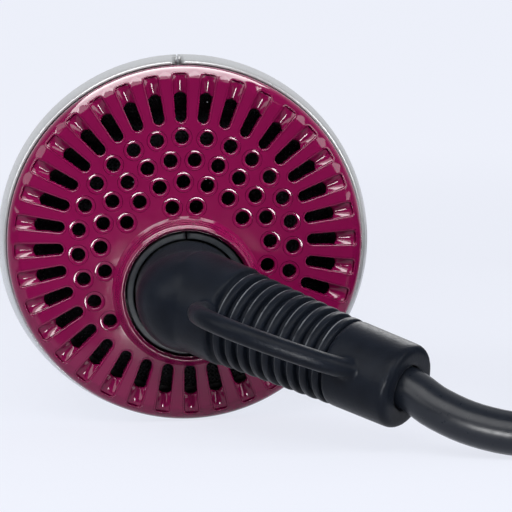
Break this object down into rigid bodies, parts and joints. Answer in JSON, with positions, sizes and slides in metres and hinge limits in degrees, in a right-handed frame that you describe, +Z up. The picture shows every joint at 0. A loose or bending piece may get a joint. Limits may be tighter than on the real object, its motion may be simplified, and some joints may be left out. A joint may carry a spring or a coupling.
{
  "type": "hot-air styler base",
  "caption": "Base handle of a hot-air styler lying on a table: slotted burgundy intake grille, swivelling ribbed cord relief with hanging loop, slide switch, and outlet spigot with sprung latch.",
  "frame": {"origin": "on the table under the middle of the handle, the free lead left out", "axes": "+Y from the intake grille towards the outlet, +Z up, +X right as seen from behind"},
  "size_m": [0.1534, 0.2314, 0.0543],
  "materials": {
    "burgundy_gloss": "polished burgundy",
    "silver_satin": "satin silver lacquer",
    "black_rubber": "matte, fine grain",
    "black_plastic": "matte",
    "black_cord": "satin sheath",
    "brass": "bright",
    "steel": "brushed",
    "mica": "pressed mica",
    "heater_wire": "drawn wire",
    "white_ceramic": "unglazed"
  },
  "bodies": {
    "handle": {"housing_left": "silver_satin", "housing_right": "silver_satin", "rear_grille": "burgundy_gloss", "trim_ring": "burgundy_gloss", "switch_panel": "silver_satin", "swivel_socket_left": "black_plastic", "swivel_socket_right": "black_plastic", "contact_carrier": "black_plastic", "wiper_outer": "brass", "wiper_inner": "brass", "fan_duct": "black_plastic", "motor_can": "steel", "motor_end_cap": "black_plastic", "heater_board_upright": "mica", "heater_board_level": "mica", "heater_coil": "heater_wire", "mica_sleeve": "mica", "thermostat": "white_ceramic", "thermal_fuse": "steel", "switch_block": "black_plastic", "front_spigot": "black_plastic", "outlet_grille": "black_plastic"},
    "cord": {"strain_relief": "black_rubber", "slip_disc": "white_ceramic", "slip_ring_outer": "brass", "slip_ring_inner": "brass", "cord_lead": "black_cord", "cord_coil": "black_cord", "cord_tail": "black_cord", "cord_tie": "black_rubber", "plug_body": "black_plastic", "plug_pin_left": "brass", "plug_pin_right": "brass"},
    "fan": {"fan_impeller": "black_plastic", "motor_shaft": "steel"},
    "slide_knob": {"switch_knob": "burgundy_gloss"},
    "latch": {"release_latch": "black_plastic"}
  },
  "joints": [
    {"name": "cord_swivel", "type": "hinge", "parent": "handle", "child": "cord", "pos_m": [0, -0.0919, 0.01965], "axis": [0, 1, 0], "continuous": true},
    {"name": "fan_spin", "type": "hinge", "parent": "handle", "child": "fan", "pos_m": [0, -0.0619, 0.01965], "axis": [0, 1, 0], "continuous": true},
    {"name": "switch_slide", "type": "slide", "parent": "handle", "child": "slide_knob", "axis": [0, 0.9923, -0.124], "range_m": [0, 0.008]},
    {"name": "latch_press", "type": "slide", "parent": "handle", "child": "latch", "axis": [0, 0, -1], "range_m": [0, 0.0012], "stiffness_N_per_m": 1500, "springref_m": -0.0004}
  ]
}
